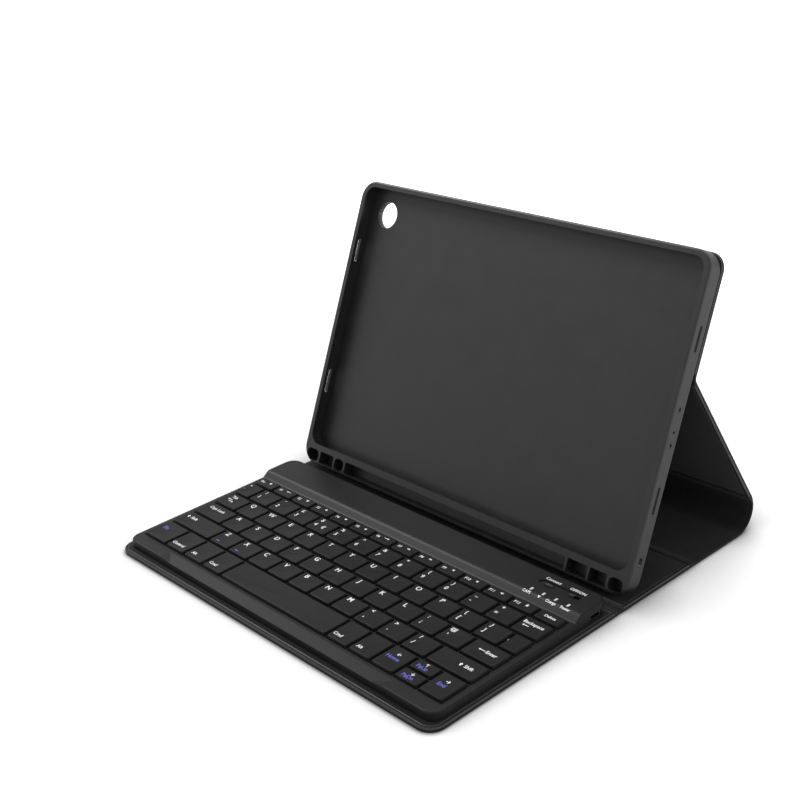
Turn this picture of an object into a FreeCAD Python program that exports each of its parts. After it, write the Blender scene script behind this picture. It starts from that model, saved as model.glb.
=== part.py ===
import math
import os

import FreeCAD
import Part
import Sketcher

vec = FreeCAD.Vector
doc = FreeCAD.newDocument("TabletKeyboardCase")
sheet = doc.addObject("Spreadsheet::Sheet", "Dims")

# Driving sizes in mm and degrees. The frame is centred on the underside of the front panel.
sizes = [
    ("case_w", "262"), ("front_d", "132"), ("crease_gap", "5"), ("rear_d", "58"),
    ("spine_flat", "44"), ("bend_r", "14"), ("cover_r", "9"), ("crease_r", "1.5"),
    ("skin_t", "0.8"), ("board_t", "1.2"), ("lining_t", "0.5"), ("lay", "0.05"),
    ("tray_h", "182"), ("tray_t", "10"), ("tray_r", "11"), ("tray_back", "1.4"),
    ("tray_tilt", "66.5"), ("foot_y", "82"), ("foot_gap", "0.1"), ("fold_h", "117"), ("fold_gap", "5"),
    ("bay_side", "2.3"), ("bay_foot", "11"), ("bay_r", "8.8"), ("bay_top", "2"), ("lip_t", "1.1"),
    ("lip_over", "1.5"), ("rail_h", "7.4"), ("rail_foot", "1.5"), ("rail_depth", "8.2"),
    ("rail_rib", "1.5"), ("tray_round", "1.2"),
    ("camera_r", "8.25"), ("camera_side", "18.2"), ("camera_down", "18.7"),
    ("kb_side", "3"), ("kb_front", "5"), ("kb_rear", "2"), ("kb_r", "7"), ("deck_h", "5"), ("bar_h", "8.4"),
    ("slope_back", "25.5"), ("slope_run", "4.5"), ("wall_t", "1.2"), ("cover_t", "1"), ("edge_round", "0.9"),
    ("ridge_r", "4"), ("valley_r", "2.5"), ("scoop_side", "43"), ("scoop_ramp", "9"), ("scoop_run", "7"),
    ("scoop_t", "1"),
    ("field_side", "4.5"), ("key_gap", "1.7"), ("field_y", "9.5"), ("field_back", "27"),
    ("space_d", "17.6"), ("fn_d", "8"), ("key_rise", "1.6"), ("key_sink", "0.7"),
    ("key_clear", "0.5"), ("key_corner", "0.7"),
    ("plate_t", "0.5"), ("film_t", "0.25"), ("dome_h", "0.9"), ("dome_r", "2.2"),
    ("recess_side", "24"), ("recess_back", "10"), ("recess_w", "30"), ("recess_d", "5"), ("recess_t", "0.6"),
    ("switch_off", "8"), ("switch_travel", "3"), ("connect_off", "7.5"), ("control_w", "2"),
    ("light_off", "12"), ("light_step", "8.3"), ("light_back", "18.5"), ("port_back", "11"), ("port_w", "9"),
    ("port_h", "3.4"), ("magnet_l", "24"), ("magnet_w", "6"), ("magnet_side", "51"),
    ("cell_w", "84"), ("cell_h", "4.2"), ("cell_side", "36"), ("pcb_w", "83"), ("pcb_t", "0.8"),
]

# Key widths and spacings in key units, as shares of the pitch of a letter key.
key_units = [
    ("row_units", "13.855"), ("grave_units", "0.7855"), ("tab_units", "1.159"), ("caps_units", "1.515"),
    ("shift_units", "2.0725"), ("fn_units", "1.209"), ("mod_units", "0.986"), ("space_units", "4.997"),
]

# Sizes that follow from the driving ones.
derived = [
    ("tray_w", "case_w"),
    ("bay_w", "tray_w - 2 * bay_side"),
    ("bay_h", "tray_h - bay_foot - bay_top"),
    ("kb_w", "case_w - 2 * kb_side"),
    ("kb_d", "front_d - kb_front - kb_rear"),
    ("slope_y", "kb_d - slope_back"),
    ("field_w", "kb_w - 2 * field_side"),
    ("key_pitch", "(field_w + key_gap) / row_units"),
    ("row_pitch", "(kb_d - field_back - field_y - space_d - key_gap - fn_d) / 4"),
    ("grave_w", "grave_units * key_pitch - key_gap"),
    ("tab_w", "tab_units * key_pitch - key_gap"),
    ("caps_w", "caps_units * key_pitch - key_gap"),
    ("shift_w", "shift_units * key_pitch - key_gap"),
    ("fn_w", "fn_units * key_pitch - key_gap"),
    ("mod_pitch", "mod_units * key_pitch"),
    ("space_w", "space_units * key_pitch - key_gap"),
    ("recess_x", "kb_w / 2 - recess_side"),
    ("recess_y", "kb_d - recess_back"),
    ("switch_x", "recess_x + switch_off"),
    ("connect_x", "recess_x - connect_off"),
    ("light_x", "recess_x - light_off"),
    ("light_y", "kb_d - light_back"),
    ("port_y", "kb_d - port_back"),
    ("magnet_x", "case_w / 2 - magnet_side"),
    ("panel_t", "skin_t + board_t + lining_t + 2 * lay"),
    ("front_y", "-front_d / 2"),
    ("crease_y", "front_d / 2"),
    ("rear_y", "front_d / 2 + crease_gap"),
    ("spine_y", "rear_y + rear_d + lay"),
    ("bend_y", "spine_y + spine_flat"),
    ("soft_t", "skin_t + lay + lining_t"),
    ("mid_r", "bend_r - skin_t / 2"),
    ("foot_z", "panel_t + foot_gap"),
    ("strip_z", "-panel_t - lay"),
    ("fold_z", "strip_z + skin_t / 2"),
    ("fold_wy", "foot_y + fold_h * cos(tray_tilt) - fold_z * sin(tray_tilt)"),
    ("fold_wz", "foot_z + fold_h * sin(tray_tilt) + fold_z * cos(tray_tilt)"),
    ("reach_y", "fold_wy - bend_y"),
    ("reach_z", "fold_wz - bend_r"),
    ("reach", "sqrt(reach_y * reach_y + reach_z * reach_z)"),
    ("stand_len", "sqrt(reach * reach - mid_r * mid_r)"),
    ("stand_angle", "atan2(reach_z; reach_y) / 1deg + atan(mid_r / stand_len) / 1deg"),
    ("stand_oy", "bend_y + bend_r * sin(stand_angle)"),
    ("stand_oz", "bend_r - bend_r * cos(stand_angle)"),
    ("stand_y", "0.4"),
    ("stand_d", "stand_len - fold_gap / 2 - stand_y"),
    ("fold_half", "fold_gap / 2"),
    ("strip_y", "fold_h + fold_half"),
    ("strip_d", "tray_h - strip_y"),
    ("inset", "skin_t + lay"),
    ("board_z", "skin_t + lay"),
    ("lining_z", "skin_t + board_t + 2 * lay"),
    ("kb_y", "front_y + kb_front"),
    ("kb_z", "panel_t + lay"),
    ("deck_z", "kb_z + deck_h"),
    ("bar_z", "kb_z + bar_h"),
    ("cavity_h", "deck_h - wall_t"),
    ("cavity_w", "kb_w - 2 * wall_t"),
    ("cavity_d", "kb_d - 2 * wall_t"),
    ("cavity_r", "kb_r - wall_t"),
    ("cavity_y", "kb_y + wall_t"),
    ("bar_y", "kb_y + slope_y + slope_run + wall_t"),
    ("bar_d", "kb_d - slope_y - slope_run - 2 * wall_t"),
    ("bar_cavity_h", "bar_h - wall_t"),
    ("bay_y", "tray_h - bay_top - bay_h"),
    ("bay_depth", "tray_t - tray_back - lip_t"),
    ("bay_z", "tray_t - lip_t"),
    ("mouth_w", "bay_w - 2 * lip_over"),
    ("mouth_h", "bay_h - 2 * lip_over"),
    ("mouth_r", "bay_r - lip_over"),
    ("mouth_y", "bay_y + lip_over"),
]

aliases = set()


def enter(name, text):
    row = len(aliases) + 1
    sheet.set("A%d" % row, name)
    sheet.set("B%d" % row, text)
    sheet.setAlias("B%d" % row, name)
    aliases.add(name)


def derive(name, formula):
    enter(name, "=" + formula)
    return name


def bound(expression):
    # Words that name a size point at the sheet.
    out, word = [], ""
    for ch in expression + " ":
        if ch.isalnum() or ch == "_":
            word += ch
            continue
        out.append("Dims." + word if word in aliases else word)
        out.append(ch)
        word = ""
    return "".join(out).strip()


def bind(obj, **expressions):
    for prop, expression in expressions.items():
        obj.setExpression(prop.replace("__", "."), bound(expression))


for size_name, size_text in sizes + key_units:
    enter(size_name, size_text)
for size_name, size_formula in derived:
    derive(size_name, size_formula)
sheet.recompute()


def new_body(name):
    return doc.addObject("PartDesign::Body", name)


def plane_of(body, role):
    for feature in body.Origin.OriginFeatures:
        if feature.Role == role:
            return feature
    raise ValueError(role)


def new_sketch(body, name, plane, x, y, z):
    sk = body.newObject("Sketcher::SketchObject", name)
    sk.AttachmentSupport = [(plane_of(body, plane), "")]
    sk.MapMode = "FlatFace"
    bind(sk, AttachmentOffset__Base__x=x, AttachmentOffset__Base__y=y, AttachmentOffset__Base__z=z)
    return sk


def datum(sk, constraint, size):
    index = sk.addConstraint(constraint)
    sk.setExpression("Constraints[%d]" % index, bound(size))


# A rectangle with rounded corners, its front edge on the sketch's x axis and its middle on the y axis.
def rounded(body, name, w, d, rf, rr, x="0", y="0", z="0", plane="XY_Plane"):
    sk = new_sketch(body, name, plane, x, y, z)
    half, deep = sheet.get(w) / 2, sheet.get(d)
    front, rear = sheet.get(rf), sheet.get(rr)

    def arc(cx, cy, r, quarter):
        circle = Part.Circle(vec(cx, cy, 0), vec(0, 0, 1), r)
        return Part.ArcOfCircle(circle, quarter * math.pi / 2, (quarter + 1) * math.pi / 2)

    def line(x0, y0, x1, y1):
        return Part.LineSegment(vec(x0, y0, 0), vec(x1, y1, 0))

    sk.addGeometry([
        line(front - half, 0, half - front, 0), arc(half - front, front, front, 3),
        line(half, front, half, deep - rear), arc(half - rear, deep - rear, rear, 0),
        line(half - rear, deep, rear - half, deep), arc(rear - half, deep - rear, rear, 1),
        line(-half, deep - rear, -half, front), arc(front - half, front, front, 2),
    ])
    sk.addConstraint([Sketcher.Constraint("Tangent", i, 2, (i + 1) % 8, 1) for i in range(8)])
    sk.addConstraint([
        Sketcher.Constraint("Vertical", 2), Sketcher.Constraint("Horizontal", 4),
        Sketcher.Constraint("Vertical", 6), Sketcher.Constraint("Symmetric", 0, 1, 0, 2, -2),
        Sketcher.Constraint("PointOnObject", 0, 1, -1),
        Sketcher.Constraint("Equal", 1, 7), Sketcher.Constraint("Equal", 3, 5),
    ])
    datum(sk, Sketcher.Constraint("Radius", 1, front), rf)
    datum(sk, Sketcher.Constraint("Radius", 3, rear), rr)
    datum(sk, Sketcher.Constraint("DistanceX", 6, 1, 2, 1, 2 * half), w)
    datum(sk, Sketcher.Constraint("DistanceY", 0, 1, 4, 1, deep), d)
    return sk


def ring(body, name, r, x, y, z, plane="XY_Plane"):
    sk = new_sketch(body, name, plane, x, y, z)
    sk.addGeometry(Part.Circle(vec(0, 0, 0), vec(0, 0, 1), sheet.get(r)))
    sk.addConstraint(Sketcher.Constraint("Coincident", 0, 3, -1, 1))
    datum(sk, Sketcher.Constraint("Radius", 0, sheet.get(r)), r)
    return sk


# A closed outline of straight edges through points whose coordinates are sizes in the sheet.
def polygon(body, name, points, x="0", y="0", z="0", plane="XY_Plane"):
    sk = new_sketch(body, name, plane, x, y, z)
    spots = [vec(sheet.get(px), sheet.get(py), 0) for px, py in points]
    count = len(spots)
    sk.addGeometry([Part.LineSegment(spots[i], spots[(i + 1) % count]) for i in range(count)])
    sk.addConstraint([Sketcher.Constraint("Coincident", i, 2, (i + 1) % count, 1) for i in range(count)])
    for i, (px, py) in enumerate(points):
        datum(sk, Sketcher.Constraint("DistanceX", -1, 1, i, 1, spots[i].x), px)
        datum(sk, Sketcher.Constraint("DistanceY", -1, 1, i, 1, spots[i].y), py)
    return sk


def pad(body, sk, length, name):
    feature = body.newObject("PartDesign::Pad", name)
    feature.Profile = sk
    bind(feature, Length=length)
    sk.Visibility = False
    return feature


def pocket(body, sk, length, name, up=False, both=False):
    feature = body.newObject("PartDesign::Pocket", name)
    feature.Profile = sk
    feature.Reversed = up
    if both:
        feature.SideType = "Symmetric"
    bind(feature, Length=length)
    sk.Visibility = False
    return feature


def fillet(body, base, edges, size, name):
    feature = body.newObject("PartDesign::Fillet", name)
    feature.Base = (base, edges)
    bind(feature, Radius=size)
    return feature


def edges_where(shape, test):
    return ["Edge%d" % (i + 1) for i, e in enumerate(shape.Edges) if test(e)]


def box(name, l, w, h, x, y, z):
    b = doc.addObject("Part::Box", name)
    bind(b, Length=l, Width=w, Height=h,
         Placement__Base__x=x, Placement__Base__y=y, Placement__Base__z=z)
    return b


def gather(name, parts):
    if len(parts) == 1:
        return parts[0]
    group = doc.addObject("Part::Compound", name)
    group.Links = parts
    return group


def cut(name, base, tools):
    c = doc.addObject("Part::Cut", name)
    c.Base = base
    c.Tool = gather(name + "_tools", tools)
    return c


def lay_out(obj, y, z, angle):
    bind(obj, Placement="placement(vector(0; %s; %s); rotation(vector(1; 0; 0); %s))" % (y, z, angle))
    return obj


nodes = {}


def keep(name, obj):
    obj.Label = name
    nodes[name] = obj
    return obj


def slab(name, w, d, rf, rr, t, y, z):
    body = new_body(name + "_body")
    pad(body, rounded(body, name + "_outline", w, d, rf, rr, "0", y, z), t, name + "_pad")
    return body


# The skin is a shallow dish: a flat sheet turned up round the edges of the board.
def dish(name, w, d, rf, rr, y, z):
    body = slab(name, w, d, rf, rr, "panel_t", y, z)
    iw, id_ = derive(name + "_iw", w + " - 2 * skin_t"), derive(name + "_id", d + " - 2 * skin_t")
    irf, irr = derive(name + "_irf", rf + " - skin_t"), derive(name + "_irr", rr + " - skin_t")
    sheet.recompute()
    floor = rounded(body, name + "_floor", iw, id_, irf, irr, "0", y + " + skin_t", z + " + skin_t")
    pocket(body, floor, "panel_t", name + "_hollow", up=True)
    return body


def filling(name, w, d, rf, rr, t, y, z):
    iw, id_ = derive(name + "_iw", w + " - 2 * inset"), derive(name + "_id", d + " - 2 * inset")
    irf, irr = derive(name + "_irf", rf + " - inset"), derive(name + "_irr", rr + " - inset")
    sheet.recompute()
    return slab(name, iw, id_, irf, irr, t, y + " + inset", z)


# Front panel: skin, stiffening board with magnets let into it, and lining.
keep("front_panel_skin", dish("front_skin", "case_w", "front_d", "cover_r", "crease_r", "front_y", "0"))
front_board = filling("front_board", "case_w", "front_d", "cover_r", "crease_r", "board_t", "front_y", "board_z")
magnet_slots, magnets = [], []
magnet_rows = [derive("magnet_y%d" % i, f) for i, f in enumerate(("kb_y + 12", "kb_y + kb_d - 16"))]
for row_name in magnet_rows:
    for side in (-1, 1):
        tag = "%s_%d" % (row_name, side + 1)
        left = "%d * magnet_x - magnet_l / 2" % side
        magnet_slots.append(box("slot_" + tag, "magnet_l + 2 * lay", "magnet_w + 2 * lay", "board_t + 1",
                                left + " - lay", row_name + " - lay", "board_z - 0.5"))
        magnets.append(box("magnet_" + tag, "magnet_l", "magnet_w", "board_t - lay",
                           left, row_name, "board_z"))
keep("front_panel_board", cut("front_board_cut", front_board, magnet_slots))
keep("front_panel_magnets", gather("front_magnets", magnets))
keep("front_panel_lining",
     filling("front_lining", "case_w", "front_d", "cover_r", "crease_r", "lining_t", "front_y", "lining_z"))

# Soft crease between the front and rear panels.
keep("crease_strip", box("crease", "case_w", "crease_gap - 2 * lay", "soft_t", "-case_w / 2",
                         "crease_y + lay", "0"))

# Rear panel.
keep("rear_panel_skin", dish("rear_skin", "case_w", "rear_d", "crease_r", "crease_r", "rear_y", "0"))
keep("rear_panel_board",
     filling("rear_board", "case_w", "rear_d", "crease_r", "crease_r", "board_t", "rear_y", "board_z"))
keep("rear_panel_lining",
     filling("rear_lining", "case_w", "rear_d", "crease_r", "crease_r", "lining_t", "rear_y", "lining_z"))

# The spine has no board. It lies flat behind the rear panel, then curls up to the stand panel.
keep("spine_skin", box("spine_flat_skin", "case_w", "spine_flat - lay", "skin_t", "-case_w / 2", "spine_y", "0"))
keep("spine_lining", box("spine_flat_lining", "case_w", "spine_flat - lay", "lining_t", "-case_w / 2",
                         "spine_y", "board_z"))


def curl(name, r, span):
    c = doc.addObject("Part::Cylinder", name)
    bind(c, Radius=r, Height="case_w", Angle=span,
         Placement="placement(vector(-case_w / 2; bend_y; bend_r); rotation(vector(0; 1; 0); 90))")
    return c


keep("spine_bend", cut("spine_curl", curl("curl_outer", "bend_r", "stand_angle"),
                       [curl("curl_inner", "bend_r - soft_t", "stand_angle")]))

# Stand panel, from the top of the curl to the fold behind the tray.
stand = [
    ("stand_panel_skin", dish("stand_skin", "case_w", "stand_d", "crease_r", "crease_r", "stand_y", "0")),
    ("stand_panel_board",
     filling("stand_board", "case_w", "stand_d", "crease_r", "crease_r", "board_t", "stand_y", "board_z")),
    ("stand_panel_lining",
     filling("stand_lining", "case_w", "stand_d", "crease_r", "crease_r", "lining_t", "stand_y", "lining_z")),
]
for stand_name, stand_piece in stand:
    keep(stand_name, lay_out(stand_piece, "stand_oy", "stand_oz", "stand_angle"))

# Soft fold, bent between the stand panel and the strip on the tray's back.
fold_lower = box("fold_lower", "case_w", "fold_half - lay", "skin_t", "0", "0", "0")
bind(fold_lower, Placement="placement(vector(-case_w / 2; "
     "fold_wy - fold_half * cos(stand_angle) + (lay * cos(stand_angle)) + skin_t / 2 * sin(stand_angle); "
     "fold_wz - fold_half * sin(stand_angle) + (lay * sin(stand_angle)) - skin_t / 2 * cos(stand_angle)); "
     "rotation(vector(1; 0; 0); stand_angle))")
fold_upper = box("fold_upper", "case_w", "fold_half - lay", "skin_t", "0", "0", "0")
bind(fold_upper, Placement="placement(vector(-case_w / 2; "
     "fold_wy + skin_t / 2 * sin(tray_tilt); fold_wz - skin_t / 2 * cos(tray_tilt)); "
     "rotation(vector(1; 0; 0); tray_tilt))")
fold_core = doc.addObject("Part::Cylinder", "fold_core")
bind(fold_core, Radius="skin_t / 2", Height="case_w",
     Placement="placement(vector(-case_w / 2; fold_wy; fold_wz); rotation(vector(0; 1; 0); 90))")
fold = doc.addObject("Part::MultiFuse", "fold_joined")
fold.Shapes = [fold_lower, fold_upper, fold_core]
keep("fold_strip", fold)

# Tablet tray, drawn flat: y runs from its foot to its top and z from its back to its front.
tray = new_body("tray_body")
outline = pad(tray, rounded(tray, "tray_outline", "tray_w", "tray_h", "tray_r", "tray_r"), "tray_t", "tray_block")
tray.recompute(True)
rim = edges_where(outline.Shape, lambda e: abs(e.BoundBox.ZMax - e.BoundBox.ZMin) < 1e-6)
fillet(tray, outline, rim, "tray_round", "tray_rim")
pocket(tray, rounded(tray, "bay_outline", "bay_w", "bay_h", "bay_r", "bay_r", "0", "bay_y", "bay_z"),
       "bay_depth", "tray_bay")
pocket(tray, rounded(tray, "mouth_outline", "mouth_w", "mouth_h", "mouth_r", "mouth_r", "0", "mouth_y", "tray_t"),
       "lip_t + 0.1", "tray_mouth")

# Pen rail: a long trough between short cells, divided by ribs.
cell_edges = [-128.4, -116, -102, -92, 89.4, 104.6, 117.6, 128.4]
cell_rounds = [3.2, 0.8, 3, 1.2, 0.8, 0.8, 3.2]
for i, corner in enumerate(cell_rounds):
    first = derive("cell_x%d" % i, "%g * tray_w / 262" % cell_edges[i])
    last = derive("cell_e%d" % i, "%g * tray_w / 262" % cell_edges[i + 1])
    wide = derive("cell_w%d" % i, "%s - %s - rail_rib" % (last, first))
    turn = derive("cell_r%d" % i, "%g" % corner)
    sheet.recompute()
    cell = rounded(tray, "cell_%d" % i, wide, "rail_h", turn, turn,
                   "(%s + %s) / 2" % (first, last), "rail_foot", "tray_t")
    pocket(tray, cell, "rail_depth", "rail_cell_%d" % i)

lens_x = derive("lens_x", "camera_side - tray_w / 2")
lens_y = derive("lens_y", "tray_h - camera_down")
sheet.recompute()
pocket(tray, ring(tray, "lens_ring", "camera_r", "lens_x", "lens_y", "0"), "tray_back + 1", "lens_hole", up=True)

# Sound slots and small holes in the right-hand wall, and sound slots in the left-hand one.
wall_marks = [("slot_high", 137.5, 14.5, 2.2), ("pin_high", 101, 3, 2), ("pin_mid", 89.2, 1.6, 1.5),
              ("pin_low", 82, 2.4, 1.9), ("slot_low", 52.5, 15.5, 2.2), ("notch", 20, 5, 3)]
for mark, along, length, tall in wall_marks:
    derive(mark + "_w", "%g" % length)
    derive(mark + "_d", "%g" % tall)
    derive(mark + "_r", "%g" % (tall * 0.46 if tall < length else length * 0.46))
    derive(mark + "_y", "%g * tray_h / 182" % along)
    derive(mark + "_z", "tray_back + 3.6 - %g" % (tall / 2))
    sheet.recompute()
    right = rounded(tray, mark + "_right", mark + "_w", mark + "_d", mark + "_r", mark + "_r",
                    mark + "_y", mark + "_z", "tray_w / 2", plane="YZ_Plane")
    pocket(tray, right, "(tray_w - bay_w) / 2 + 0.5", mark + "_right_cut")
    if mark.startswith("slot"):
        left = rounded(tray, mark + "_left", mark + "_w", mark + "_d", mark + "_r", mark + "_r",
                       mark + "_y", mark + "_z", "-tray_w / 2", plane="YZ_Plane")
        pocket(tray, left, "(tray_w - bay_w) / 2 + 0.5", mark + "_left_cut", up=True)
keep("tablet_tray", lay_out(tray, "foot_y", "foot_z", "tray_tilt"))

# Strip of the cover fixed to the upper part of the tray's back.
strip_skin = dish("strip_skin", "case_w", "strip_d", "crease_r", "cover_r", "strip_y", "strip_z")
strip_board = filling("strip_board", "case_w", "strip_d", "crease_r", "cover_r", "board_t + lining_t",
                      "strip_y", "strip_z + board_z")
for piece, tag in ((strip_skin, "skin"), (strip_board, "board")):
    hole = ring(piece, "lens_" + tag, "camera_r", "lens_x", "lens_y", "strip_z - 1")
    pocket(piece, hole, "panel_t + 2", "lens_cut_" + tag, up=True)
    keep("back_strip_" + tag, lay_out(piece, "foot_y", "foot_z", "tray_tilt"))

# Key layout: node name, number of keys and width, from left to right in each row.
derive("unit_w", "key_pitch - key_gap")
derive("fn_key_w", "(field_w + key_gap) / 14 - key_gap")
derive("mod_w", "mod_pitch - key_gap")
derive("right_w", "(field_w - fn_w - 3 * mod_pitch - space_w - 6 * key_gap) / 5")
rows = [
    ("bottom", "field_y", "space_d", [
        ("key_fn", 1, "fn_w"), ("key_control", 1, "mod_w"), ("key_alt_left", 1, "mod_w"),
        ("key_command_left", 1, "mod_w"), ("key_space", 1, "space_w"), ("key_command_right", 1, "right_w"),
        ("key_alt_right", 1, "right_w"), ("key_arrow_left", 1, "right_w"), ("key_arrow_stack", 1, "right_w"),
        ("key_arrow_right", 1, "right_w")]),
    ("lower", "field_y + space_d + key_gap", "row_pitch - key_gap", [
        ("key_shift_left", 1, "shift_w"), ("keys_z_to_b", 5, "unit_w"), ("keys_n_to_slash", 5, "unit_w"),
        ("key_shift_right", 1, "")]),
    ("home", "row_lower_y + row_pitch", "row_pitch - key_gap", [
        ("key_caps_lock", 1, "caps_w"), ("keys_a_to_h", 6, "unit_w"), ("keys_j_to_quote", 5, "unit_w"),
        ("key_enter", 1, "")]),
    ("upper", "row_home_y + row_pitch", "row_pitch - key_gap", [
        ("key_tab", 1, "tab_w"), ("keys_q_to_y", 6, "unit_w"), ("keys_u_to_bracket", 6, "unit_w"),
        ("key_backslash", 1, "")]),
    ("digit", "row_upper_y + row_pitch", "row_pitch - key_gap", [
        ("key_grave", 1, "grave_w"), ("keys_1_to_6", 6, "unit_w"), ("keys_7_to_equals", 6, "unit_w"),
        ("key_backspace", 1, "")]),
    ("function", "row_digit_y + row_pitch", "fn_d", [
        ("keys_escape_to_f6", 7, "fn_key_w"), ("keys_f7_to_delete", 7, "fn_key_w")]),
]


upright = [i + 1 for i, e in enumerate(Part.makeBox(1, 1, 1).Edges)
           if abs(e.Vertexes[0].Z - e.Vertexes[-1].Z) > 0.5]


def key_cap(tag, x, y, w, d):
    block = box("cap_" + tag, w, d, "key_sink + key_rise", x, "kb_y + " + y, "deck_z - key_sink")
    cap = doc.addObject("Part::Chamfer", "corner_" + tag)
    cap.Base = block
    cap.Edges = [(i, sheet.get("key_corner"), sheet.get("key_corner")) for i in upright]
    block.Visibility = False
    return cap


derive("half_d", "(space_d - key_gap) / 2")
apertures, domes = [], []
key_nodes = []
for row, row_y, row_d, groups in rows:
    y = derive("row_%s_y" % row, row_y)
    d = derive("row_%s_d" % row, row_d)
    x = derive("row_%s_x" % row, "-field_w / 2")
    done = 0
    for node, count, width in groups:
        caps = {}
        for k in range(count):
            tag = "%s_%d" % (row, done)
            w = derive("w_" + tag, width or "field_w / 2 - " + x)
            spots = [(node, y, d, "")]
            if node == "key_arrow_stack":
                upper = derive("stack_y", y + " + half_d + key_gap")
                spots = [("key_arrow_down", y, "half_d", "_a"), ("key_arrow_up", upper, "half_d", "_b")]
            for owner, spot_y, spot_d, mark in spots:
                caps.setdefault(owner, []).append(key_cap(tag + mark, x, spot_y, w, spot_d))
                dome = doc.addObject("Part::Prism", "dome_" + tag + mark)
                dome.Polygon = 6
                bind(dome, Circumradius="dome_r", Height="dome_h", Placement__Base__x="%s + %s / 2" % (x, w),
                     Placement__Base__y="kb_y + %s + %s / 2" % (spot_y, spot_d),
                     Placement__Base__z="kb_z + cover_t + plate_t + film_t + 5 * lay")
                domes.append(dome)
                apertures.append(box("aperture_" + tag + mark, w + " + 2 * key_clear", spot_d + " + 2 * key_clear",
                                     "wall_t + 1", x + " - key_clear", "kb_y + " + spot_y + " - key_clear",
                                     "deck_z - wall_t - 0.5"))
            done += 1
            x = derive("x_%s_%d" % (row, done), "%s + %s + key_gap" % (x, w))
        for owner, shapes in caps.items():
            key_nodes.append(owner)
            keep(owner, gather("group_" + owner, shapes))

# Keyboard top case: a deck that slopes up to a raised bar along the rear.
top = new_body("top_body")
pad(top, rounded(top, "top_outline", "kb_w", "kb_d", "kb_r", "kb_r", "0", "kb_y", "kb_z"), "bar_h", "top_block")
derive("slope_end", "slope_y + slope_run")
derive("nil", "0")
sheet.recompute()
step = polygon(top, "step_side", [("nil", "deck_h"), ("slope_y", "deck_h"), ("slope_end", "bar_h"), ("nil", "bar_h")],
               "kb_y", "kb_z", "0", plane="YZ_Plane")
stepped = pocket(top, step, "kb_w + 2", "top_step", both=True)
top.recompute(True)


# The long edges across the step, at one height.
def across_at(shape, height):
    return edges_where(shape, lambda e: e.BoundBox.XLength > sheet.get("kb_w") / 2
                       and e.BoundBox.ZLength < 1e-6 and abs(e.BoundBox.ZMin - height) < 1e-6
                       and e.BoundBox.YMin > sheet.get("kb_y") + 1
                       and e.BoundBox.YMax < sheet.get("kb_y") + sheet.get("kb_d") - 1)


ridge = fillet(top, stepped, across_at(stepped.Shape, sheet.get("bar_z")), "ridge_r", "ridge_round")
top.recompute(True)
shaped = fillet(top, ridge, across_at(ridge.Shape, sheet.get("deck_z")), "valley_r", "valley_round")
top.recompute(True)


def on_top_rim(e):
    box_e = e.BoundBox
    flat = box_e.ZMax - box_e.ZMin < 1e-6
    low, high = sheet.get("kb_y"), sheet.get("kb_y") + sheet.get("kb_d")
    edge_x = max(abs(box_e.XMin), abs(box_e.XMax)) > sheet.get("kb_w") / 2 - sheet.get("kb_r") - 1e-3
    inside = box_e.YMin > low + 1e-3 and box_e.YMax < high - 1e-3 and box_e.XMax - box_e.XMin > sheet.get("kb_w") / 2
    return flat and box_e.ZMin > sheet.get("kb_z") + 1 and edge_x and not inside


fillet(top, shaped, edges_where(shaped.Shape, on_top_rim), "edge_round", "top_rim")
pocket(top, rounded(top, "cavity_outline", "cavity_w", "cavity_d", "cavity_r", "cavity_r", "0", "cavity_y", "kb_z"),
       "cavity_h", "top_cavity", up=True)
pocket(top, rounded(top, "bar_outline", "cavity_w", "bar_d", "crease_r", "cavity_r", "0", "bar_y", "kb_z"),
       "bar_cavity_h", "bar_cavity", up=True)

# Long six-sided recess in the bar for the switch and the connect button.
for corner_name, corner_x, corner_y in (
        ("hex_a", "-recess_w / 2", "0"), ("hex_b", "-recess_w / 2 + recess_d / 2", "-recess_d / 2"),
        ("hex_c", "recess_w / 2 - recess_d / 2", "-recess_d / 2"), ("hex_d", "recess_w / 2", "0"),
        ("hex_e", "recess_w / 2 - recess_d / 2", "recess_d / 2"),
        ("hex_f", "-recess_w / 2 + recess_d / 2", "recess_d / 2")):
    derive(corner_name + "x", corner_x)
    derive(corner_name + "y", corner_y)
sheet.recompute()
hexagon = polygon(top, "recess_outline", [("hex_" + c + "x", "hex_" + c + "y") for c in "abcdef"],
                  "recess_x", "kb_y + recess_y", "bar_z")
pocket(top, hexagon, "recess_t", "top_recess")

# Shallow finger scoop along the front edge, with ramped ends.
scoop = doc.addObject("Part::Wedge", "front_scoop")
derive("scoop_half", "kb_w / 2 - scoop_side")
sheet.recompute()
bind(scoop, Xmin="-scoop_half", Xmax="scoop_half", Ymin="0", Ymax="scoop_t", Zmin="-0.3", Zmax="2",
     X2min="-scoop_half - scoop_ramp", X2max="scoop_half + scoop_ramp", Z2min="-scoop_run", Z2max="2",
     Placement="placement(vector(0; kb_y; deck_z - scoop_t); rotation(vector(1; 0; 0); 90))")

holes = apertures + [
    scoop,
    box("switch_slot", "switch_travel + 3 + 0.6", "control_w + 0.6", "4", "switch_x - 1.8",
        "kb_y + recess_y - control_w / 2 - 0.3", "bar_z - 3"),
    box("connect_slot", "5.6", "control_w + 0.6", "4", "connect_x - 2.8",
        "kb_y + recess_y - control_w / 2 - 0.3", "bar_z - 3"),
    box("port_mouth", "wall_t + 2", "port_w", "port_h", "kb_w / 2 - wall_t - 1",
        "kb_y + port_y - port_w / 2", "kb_z + cover_t + 0.5"),
]
lights = []
for i in range(4):
    at = "light_x + %d * light_step" % i
    holes.append(box("light_hole_%d" % i, "1.6", "2.8", "3", at + " - 0.8", "kb_y + light_y - 1.4", "bar_z - 2"))
    lights.append(box("light_%d" % i, "1.2", "2.4", "bar_h - cover_t - 1", at + " - 0.6", "kb_y + light_y - 1.2",
                      "kb_z + cover_t + 1"))
keep("keyboard_top_case", cut("top_case", top, holes))
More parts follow.
